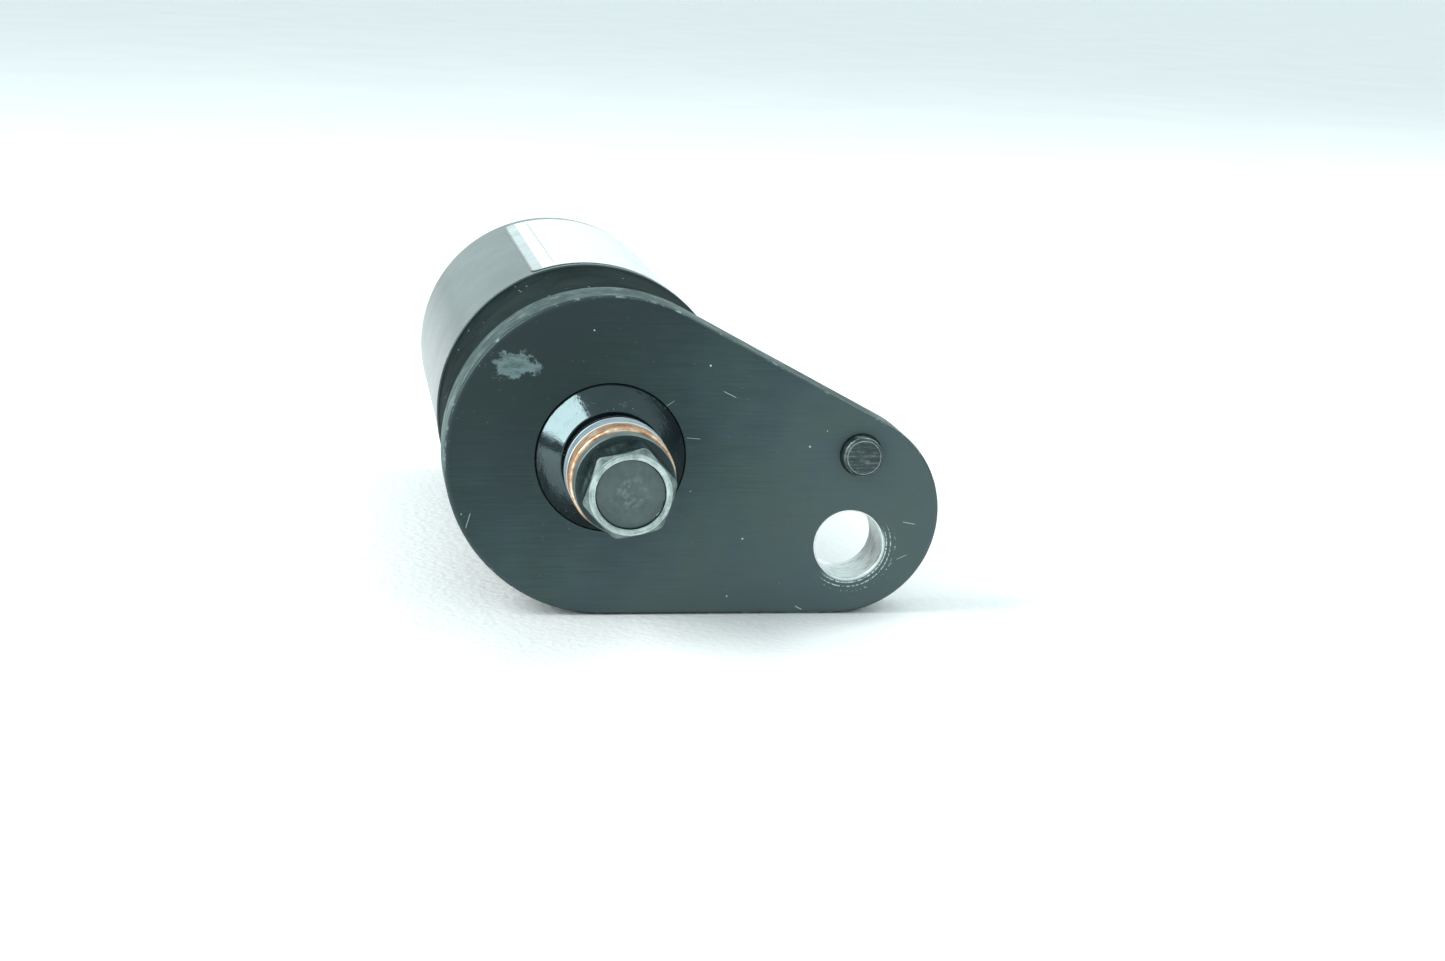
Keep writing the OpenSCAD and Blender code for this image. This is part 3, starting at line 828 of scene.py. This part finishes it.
def make_plate():
    face, rim, front_edge, back_edge, bare = range(5)
    bm = bmesh.new()
    edge_r, back_cut, rubbed_from = 1.15, 0.5, 40
    profile = []
    for degrees in range(0, 91, 10):
        a = math.radians(degrees)
        tone = front_edge if degrees >= rubbed_from else face
        profile.append((edge_r * (1 - math.sin(a)), edge_r * (1 - math.cos(a)), tone))
    profile[-1] = (0.0, edge_r, rim)
    profile += [(0.0, PLATE_T - back_cut - 0.15, back_edge), (0.04, PLATE_T - back_cut, back_edge)]
    profile += [(back_cut - 0.04, PLATE_T - 0.06, back_edge), (back_cut + 0.1, PLATE_T, face)]
    outer = []
    for inset, y, _ in profile:
        outer.append([bm.verts.new((x, y * MM, z)) for x, z in teardrop(inset)])
    for i in range(len(outer) - 1):
        bridge(bm, outer[i], outer[i + 1], profile[i][2])

    def drill(centre, steps, count):
        rings = [ring_of(bm, even(count), centre, r, y) for r, y, _ in steps]
        for i in range(len(rings) - 1):
            bridge(bm, rings[i], rings[i + 1], steps[i][2])
        return rings[0], rings[-1]

    hole = rounded(
        [
            (HOLE_R + 2, 0, 0, bare),
            (HOLE_R, 0, 0.3, bare, bare),
            (HOLE_R, PLATE_T, 0.4, bare, bare),
            (HOLE_R + 2, PLATE_T, 0, bare),
        ],
        False,
    )[1:-1]
    sink_r, through_r = BOSS_FOOT_R + 0.12, BOSS_SHANK_R + 0.1
    boss_hole = [
        (sink_r + 0.1, 0, face),
        (sink_r + 0.03, 0.03, face),
        (sink_r, 0.1, face),
        (sink_r, BOSS_SINK, face),
        (through_r, BOSS_SINK, face),
        (through_r, PLATE_T, face),
    ]
    relief_r, relief, pin_deep, dowel_r, dowel_from = PIN_R + 0.35, 1, 10, 2.5, 5
    pin_hole = [
        (relief_r + 0.07, 0, front_edge),
        (relief_r, 0.08, face),
        (relief_r, relief, face),
        (PIN_SHANK_R, relief, face),
        (PIN_SHANK_R, pin_deep, face),
        (0, pin_deep, face),
    ]
    dowel_hole = [(0, dowel_from, bare), (dowel_r, dowel_from, bare), (dowel_r, PLATE_T, bare)]
    ends = [
        drill(HOLE_AT, hole, 120),
        drill(AXIS, boss_hole, 150),
        drill(PIN_AT, pin_hole, 72),
        drill(DOWEL_AT, dowel_hole, 40),
    ]
    fronts = [outer[0], ends[0][0], ends[1][0], ends[2][0]]
    backs = [outer[-1], ends[0][1], ends[1][1], ends[3][1]]
    for loops, normal in ((fronts, (0, -1, 0)), (backs, (0, 1, 0))):
        edges = []
        for loop in loops:
            for i, vert in enumerate(loop):
                edges.append(bm.edges.get((vert, loop[(i + 1) % len(loop)])))
        filled = bmesh.ops.triangle_fill(bm, use_beauty=True, edges=edges, normal=normal)
        for item in filled["geom"]:
            if isinstance(item, bmesh.types.BMFace):
                item.material_index = face
    finish_piece(
        bm,
        "plate",
        [PLATE_FACE, PLATE_RIM, PLATE_FRONT_EDGE, PLATE_BACK_EDGE, BORE],
        "casing",
        ["mounting_plate"],
    )


make_plate()

lathe(
    "pin",
    [
        (0, -3.0, 0, 0),
        (PIN_R - PIN_CUT + 0.02, -2.98, 0.12, 0, 1),
        (PIN_R, PIN_CUT - 3.0, 0.15, 0, 1),
        (PIN_R, -0.05, 0.03, 0),
        (PIN_SHANK_R, -0.05, 0, 0),
        (PIN_SHANK_R, 9.2, 0.2, 0),
        (0, 9.5, 0, 0),
    ],
    PIN_AT,
    [PIN, PLUG_WORN],
    "casing",
    ["locating_pin"],
    closed=False,
    count=96,
)

# ---------------------------------------------------------------- the canister and its label

seam = front("shell_tube")
shell_end = rear("shell_tube")
LIP_R = SHELL_R + 0.3
SOCKET_R, SOCKET_END = 28.5, 60.5
BORE_R, END_T, VALVE_R = 27.5, 9, 9.0
lathe(
    "canister",
    [
        (SOCKET_R, seam, 0.1, 0),
        (LIP_R, seam, 0.42, 0, 1),
        (LIP_R, seam + 1.5, 0.5, 0, 1),
        (SHELL_R, seam + 2.1, 0.4, 0),
        (SHELL_R, shell_end, 3.6, 2, 2),
        (VALVE_R, shell_end, 0.3, 3),
        (VALVE_R, shell_end - END_T, 0.3, 3),
        (BORE_R, shell_end - END_T, 2.0, 3),
        (BORE_R, SOCKET_END, 0.2, 3),
        (SOCKET_R, SOCKET_END, 0.1, 3),
    ],
    AXIS,
    [SHELL, SHELL, SHELL_EDGE, STEEL],
    "casing",
    ["shell_tube"],
    count=224,
    steps=8,
)


def make_label_sheet():
    """The label: a thin curved sheet with rounded corners and its own flat coordinates."""
    corner, columns, rows = LABEL_CORNER, 150, 24
    first = math.radians(90 + 22)
    sweep = math.radians(150)
    inner, outer = SHELL_R + 0.03, SHELL_R + 0.19
    start, long = front("rating_label"), LABEL_L
    bm = bmesh.new()
    uv = bm.loops.layers.uv.new("sheet")
    flat = {}
    layers = []
    for radius in (outer, inner):
        grid = []
        for i in range(columns + 1):
            share = 0.5 - 0.5 * math.cos(math.pi * i / columns)
            u = LABEL_W * (0.35 * share + 0.65 * i / columns)
            near = max(0.0, corner - min(u, LABEL_W - u))
            short = corner - math.sqrt(corner * corner - near * near)
            a = first - sweep * u / LABEL_W
            column = []
            for j in range(rows + 1):
                v = short + (long - 2 * short) * j / rows
                x = AXIS_X + radius * MM * math.cos(a)
                vert = bm.verts.new((x, (start + v) * MM, AXIS_Z + radius * MM * math.sin(a)))
                flat[vert] = (u * MM, v * MM)
                column.append(vert)
            grid.append(column)
        layers.append(grid)
        for i in range(columns):
            for j in range(rows):
                bm.faces.new((grid[i][j], grid[i + 1][j], grid[i + 1][j + 1], grid[i][j + 1]))

    def border(grid):
        return (
            [grid[i][0] for i in range(columns + 1)]
            + grid[-1][1:]
            + [grid[i][-1] for i in range(columns - 1, -1, -1)]
            + grid[0][-2:0:-1]
        )

    bridge(bm, border(layers[0]), border(layers[1]), 0)
    for f in bm.faces:
        for loop in f.loops:
            loop[uv].uv = flat[loop.vert]
    finish_piece(bm, "label", [LABEL], "casing", ["rating_label"])


make_label_sheet()

# ---------------------------------------------------------------- the port: boss, rings and plug

boss_end = front("port_boss")
boss_tip_r, boss_deep = 9.2, 25.0
groove_r, groove_from, groove_to = 9.1, 20.5, 23.1
thread_r, passage_r = 7.0, 4.0
lathe(
    "boss",
    [
        (thread_r, boss_end, 0.25, 0),
        (boss_tip_r, boss_end, 0.3, 0),
        (boss_tip_r, -5.0, 0.25, 0),
        (10.55, -5.1, 0.35, 0),
        (BOSS_FOOT_R, 0.0, 1.2, 0, 1),
        (BOSS_FOOT_R, BOSS_SINK, 0.1, 0),
        (BOSS_SHANK_R, BOSS_SINK, 0.1, 0),
        (BOSS_SHANK_R, groove_from, 0.1, 0),
        (groove_r, groove_from, 0.1, 0),
        (groove_r, groove_to, 0.1, 0),
        (BOSS_SHANK_R, groove_to, 0.1, 0),
        (BOSS_SHANK_R, boss_deep, 0.4, 0),
        (passage_r, boss_deep, 0.3, 0),
        (passage_r, 8.0, 0.2, 0),
        (thread_r, 7.0, 0.3, 0),
    ],
    AXIS,
    [BOSS, BOSS],
    "casing",
    ["port_boss"],
    count=200,
)

ring_in = 7.16
for name, node, r_out, ends_cut, finishes, slot in (
    ("copper_band", "copper_ring", 10.3, (0.6, 0.15), [COPPER, COPPER], "copper"),
    ("spacer_ring", "steel_spacer", 10.4, (0.3, 0.3), [ZINC, ZINC], "bright_steel"),
    ("sealing_washer", "bonded_seal", 10.4, (0.25, 0.25), [WASHER, ZINC], "rubber"),
):
    y0, y1 = front(node), rear(node)
    lathe(
        name,
        [
            (ring_in, y0, 0.1, 0),
            (r_out, y0, ends_cut[0], 0, 1),
            (r_out, y1, ends_cut[1], 0, 1),
            (ring_in, y1, 0.1, 0),
        ],
        AXIS,
        finishes,
        "port_seals",
        [node],
        count=200,
        steps=6,
    )


def make_plug():
    dark, worn, dish, side, faded, gloss = range(6)
    across_flats, worn_corner, turn = 16.0, 1.5, 13.0
    angles, hexed = hexagon(across_flats, worn_corner, turn)
    tip = front("port_plug")
    collar_back = tip + 11.3
    head_back = tip + 7.9
    rim_r, rim_at, lean = 7.86, tip + 0.15, math.tan(math.radians(42))
    # The dished end: (radius, depth behind the tip, finish)
    dished = (
        (0.0, 1.0, dish),
        (3.0, 0.98, dish),
        (6.1, 0.9, dish),
        (6.42, 0.84, gloss),
        (6.54, 0.72, gloss),
        (6.62, 0.3, gloss),
        (6.7, 0.12, worn),
        (6.86, 0.02, worn),
        (7.1, 0.0, worn),
        (7.5, 0.03, worn),
        (7.72, 0.08, worn),
    )
    rings = [(r, tip + back, tone) for r, back, tone in dished]
    rings.append((rim_r, rim_at, faded))
    # The turned chamfer that runs out into the six flats
    for share in (0.3, 0.6, 0.85):
        radii = [rim_r + (r - rim_r) * share for r in hexed]
        rings.append((radii, [rim_at + (r - rim_r) * lean for r in radii], faded))
    for inset, drop, tone in ((0.08, 0.0, faded), (0.02, 0.06, faded), (0.0, 0.2, dark)):
        radii = [r - inset for r in hexed]
        rings.append((radii, [rim_at + (r - rim_r) * lean + drop for r in radii], tone))
    rings += [
        (hexed, head_back - 0.35, dark),
        ([r + 0.1 if r < 9.2 else min(r + 0.05, 9.35) for r in hexed], head_back - 0.05, dark),
        (9.38, head_back, dark),
        (9.62, head_back + 0.08, side),
        (9.76, head_back + 0.24, side),
        (9.8, head_back + 0.5, side),
        (9.8, collar_back - 0.25, side),
        (9.66, collar_back - 0.04, dark),
        (9.5, collar_back, dark),
        (6.9, collar_back, dark),
    ]
    crest, deep, pitch = 6.94, 0.8, 1.5
    rings += thread_rings(angles, crest, deep, pitch, collar_back + 0.6, 2.6, dark)
    rings += [(6.5, 3.6, dark), (6.1, 3.95, dark), (5.6, 4.0, dark), (0.0, 4.0, dark)]
    finishes = [PLUG_DARK, PLUG_WORN, PLUG_DISH, PLUG_SIDE, PLUG_FADED, BOSS]
    loft("plug", angles, rings, AXIS, finishes, "port_plug", ["port_plug"], False)


make_plug()

# ---------------------------------------------------------------- the gas end: valve and cap


def make_valve():
    plated = 0
    across_flats, corner = 24.0, 0.4
    angles, hexed = hexagon(across_flats, corner, 0.0)
    hex_at = shell_end
    nipple_at, tip = hex_at + 6.0, rear("gas_valve_body")
    body_in = front("gas_valve_body")
    rings = [
        (3.6, body_in, plated),
        (8.6, body_in, plated),
        (8.96, body_in + 0.4, plated),
        (8.96, hex_at - 3.0, plated),
        (7.2, hex_at - 2.95, plated),
        (7.2, hex_at - 0.85, plated),
        (8.96, hex_at - 0.8, plated),
        (8.96, hex_at, plated),
        ([r - 0.15 for r in hexed], hex_at, plated),
        (hexed, hex_at + 0.18, plated),
    ]
    lean = 0.62

    def chamfer(r):
        return nipple_at - max(0.0, (r - 11.5) * lean)

    rings += [
        (hexed, [chamfer(r) - 0.12 for r in hexed], plated),
        ([r - 0.08 for r in hexed], [chamfer(r) for r in hexed], plated),
        (11.5, nipple_at, plated),
        (6.9, nipple_at, plated),
        (6.55, nipple_at + 0.25, plated),
    ]
    crest, deep, pitch = 6.49, 0.5, 1.0
    rings += thread_rings(angles, crest, deep, pitch, nipple_at + 0.4, tip - 0.7, plated)
    rings += [
        (5.95, tip - 0.05, plated),
        (5.8, tip, plated),
        (2.1, tip, plated),
        (2.0, tip - 0.1, plated),
        (2.0, hex_at + 4, plated),
        (3.6, hex_at + 4, plated),
    ]
    loft("valve_body", angles, rings, AXIS, [PLATED], "casing", ["gas_valve_body"])


def make_cap():
    flutes, per_flute = 24, 14
    angles = even(flutes * per_flute)
    grip, end = front("gas_valve_cap"), rear("gas_valve_cap")
    r_out, cut_r, cut_at = 8.4, 0.6, 8.75

    def fluted(limit):
        radii = []
        for i in range(len(angles)):
            off = 2 * math.pi / flutes * ((i / per_flute + 0.5) % 1 - 0.5)
            side = cut_at * math.sin(off)
            radius = r_out
            if abs(side) < cut_r:
                radius = min(r_out, cut_at * math.cos(off) - math.sqrt(cut_r**2 - side**2))
            radii.append(min(radius, limit))
        return radii

    rings = [
        (6.56, grip, 0),
        (8.1, grip, 0),
        (8.3, grip + 0.08, 0),
        (r_out, grip + 0.3, 0),
        (r_out, grip + 1.8, 0),
        (fluted(8.38), grip + 2.2, 0),
        (fluted(8.38), end - 1.2, 0),
        (fluted(8.25), end - 0.95, 0),
        (fluted(7.9), end - 0.5, 0),
        (7.5, end - 0.12, 0),
        (7.2, end, 0),
        (5.6, end, 0),
        (5.4, end - 0.12, 0),
        (5.2, end - 0.25, 0),
        (0.0, end - 0.25, 0),
    ]
    roof = end - 2.0
    bm = bmesh.new()
    outside = [ring_of(bm, angles, AXIS, r, y) for r, y, _ in rings]
    inside = [ring_of(bm, angles, AXIS, r, y) for r, y in ((6.56, roof), (0.0, roof))]
    for a, b in zip(outside, outside[1:]):
        bridge(bm, a, b, 0)
    bridge(bm, outside[0], inside[0], 0)
    bridge(bm, inside[0], inside[1], 0)
    finish_piece(bm, "valve_cap", [PLASTIC], "gas_cap", ["gas_valve_cap"])


def make_spring():
    """The valve's spring: one end rests on the retainer; the coil is fixed and rides on no body."""
    y0, y1 = front("gas_valve_spring"), rear("gas_valve_spring")
    coil_r, wire_r, coils, per_turn, around = 2.2, 0.35, 6, 36, 12
    bm = bmesh.new()
    rings = []
    for i in range(coils * per_turn + 1):
        a = 2 * math.pi * i / per_turn
        y = y0 + wire_r + (y1 - y0 - 2 * wire_r) * i / (coils * per_turn)
        ring = []
        for b in even(around):
            r = coil_r + wire_r * math.cos(b)
            x, z = AXIS_X + r * MM * math.cos(a), AXIS_Z + r * MM * math.sin(a)
            ring.append(bm.verts.new((x, (y + wire_r * math.sin(b)) * MM, z)))
        rings.append(ring)
    for i in range(len(rings) - 1):
        bridge(bm, rings[i], rings[i + 1], 0)
    bm.faces.new(rings[0])
    bm.faces.new(rings[-1])
    spring = finish_piece(bm, "valve_spring", [STEEL], None, ["gas_valve_spring"])
    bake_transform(spring)


make_valve()
make_cap()
make_spring()

# ---------------------------------------------------------------- CAD nodes that stay

kept = {
    NECK: ["front_cap"],
    STEEL: ["anti_rotation_pin", "screen_retaining_ring"],
    RUBBER: [
        "cap_o_ring",
        "bumper_ring",
        "port_boss_o_ring",
        "piston_energiser",
        "piston_gas_seal",
        "gas_valve_o_ring",
        "gas_valve_seal",
        "gas_cap_seal",
    ],
    PTFE: ["cap_backup_ring"],
    BRONZE: ["port_screen"],
    PISTON: ["piston"],
    GUIDE: ["piston_guide_front", "piston_guide_rear"],
    SLIDE: ["piston_slide_ring"],
    BRASS: ["gas_valve_pin", "gas_valve_retainer"],
}
for material, names in kept.items():
    for name in names:
        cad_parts[name].data.materials.clear()
        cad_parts[name].data.materials.append(material)

# ---------------------------------------------------------------- floor, light and camera

FLOOR_REACH = 60.0
FLOOR_GAP = 0.05 * MM
LAMP_DISTANCE = 1.3
LAMP_COLOUR = (0.95, 1.0, 1.0)

floor_mesh = bpy.data.meshes.new("floor")
floor_bm = bmesh.new()
bmesh.ops.create_grid(floor_bm, x_segments=4, y_segments=4, size=FLOOR_REACH)
floor_bm.to_mesh(floor_mesh)
floor_bm.free()
floor = bpy.data.objects.new("floor", floor_mesh)
floor.location.z = plate_lo.z - FLOOR_GAP
floor_mesh.materials.append(make_floor())
bpy.context.scene.collection.objects.link(floor)

centre = (cad_box[0] + cad_box[1]) / 2


def softbox(name, azimuth, elevation, wide, high, power):
    """A soft rectangular light, placed by the direction it shines from."""
    a, e = math.radians(azimuth), math.radians(elevation)
    way = Vector((math.sin(a) * math.cos(e), -math.cos(a) * math.cos(e), math.sin(e)))
    data = bpy.data.lights.new(name, "AREA")
    data.shape = "RECTANGLE"
    data.size, data.size_y, data.energy, data.color = wide, high, power, LAMP_COLOUR
    lamp = bpy.data.objects.new(name, data)
    lamp.location = centre + way * LAMP_DISTANCE
    lamp.rotation_mode = "QUATERNION"
    lamp.rotation_quaternion = (-way).to_track_quat("-Z", "Y")
    bpy.context.scene.collection.objects.link(lamp)


softbox("softbox_left", -83, 35.5, 0.4, 1.13, 17)
softbox("softbox_right", 114, 46, 0.32, 1.5, 8)

world = bpy.data.worlds.new("studio")
bpy.context.scene.world = world
world.use_nodes = True
sky = world.node_tree
background = sky.nodes["Background"]
way = sky.nodes.new("ShaderNodeTexCoord").outputs["Generated"]
height = sky.nodes.new("ShaderNodeSeparateXYZ")
sky.links.new(way, height.inputs[0])


def wall(stops):
    """The studio's brightness from the table's level up to the ceiling."""
    made = sky.nodes.new("ShaderNodeValToRGB")
    for element, (at, colour) in zip(made.color_ramp.elements, stops):
        element.position = at
        element.color = (*colour, 1)
    sky.links.new(height.outputs[2], made.inputs["Fac"])
    return made.outputs["Color"]


# The studio: darker walls at its two sides, brighter ones in front and behind
ceiling, side_wall, end_wall = (0.76, 0.9, 0.92), (0.42, 0.5, 0.51), (1.0, 1.2, 1.2)
sideways = sky.nodes.new("ShaderNodeMath")
sideways.operation = "ABSOLUTE"
sky.links.new(height.outputs[0], sideways.inputs[0])
open_ends = sky.nodes.new("ShaderNodeMapRange")
open_ends.interpolation_type = "SMOOTHSTEP"
open_ends.inputs["From Min"].default_value = 0.9
open_ends.inputs["From Max"].default_value = 0.7
sky.links.new(sideways.outputs[0], open_ends.inputs["Value"])
studio = sky.nodes.new("ShaderNodeMix")
studio.data_type = "RGBA"
sky.links.new(open_ends.outputs["Result"], studio.inputs[0])
sky.links.new(wall([(0.1, side_wall), (0.32, ceiling)]), studio.inputs[6])
sky.links.new(wall([(0.05, end_wall), (0.45, ceiling)]), studio.inputs[7])
sky.links.new(studio.outputs[2], background.inputs["Color"])
background.inputs["Strength"].default_value = 1.0

# The camera as fitted to the photograph: millimetres and degrees
CAMERA_AT = (-107.95, -445.58, 119.55)
CAMERA_AZIMUTH = 10.33
CAMERA_DOWN = 13.19
CAMERA_ROLL = 2.62
SENSOR_W, LENS = 36.0, 57.72
camera = bpy.data.objects.new("camera", bpy.data.cameras.new("camera"))
camera.data.sensor_width, camera.data.lens = SENSOR_W, LENS
camera.data.clip_start, camera.data.clip_end = 0.01, 50.0
camera.matrix_world = (
    Matrix.Translation(Vector(CAMERA_AT) * MM)
    @ Matrix.Rotation(math.radians(-CAMERA_AZIMUTH), 4, "Z")
    @ Matrix.Rotation(math.radians(90 - CAMERA_DOWN), 4, "X")
    @ Matrix.Rotation(math.radians(CAMERA_ROLL), 4, "Z")
)
bpy.context.scene.collection.objects.link(camera)
bpy.context.scene.camera = camera
bpy.context.scene.view_settings.view_transform = "Standard"
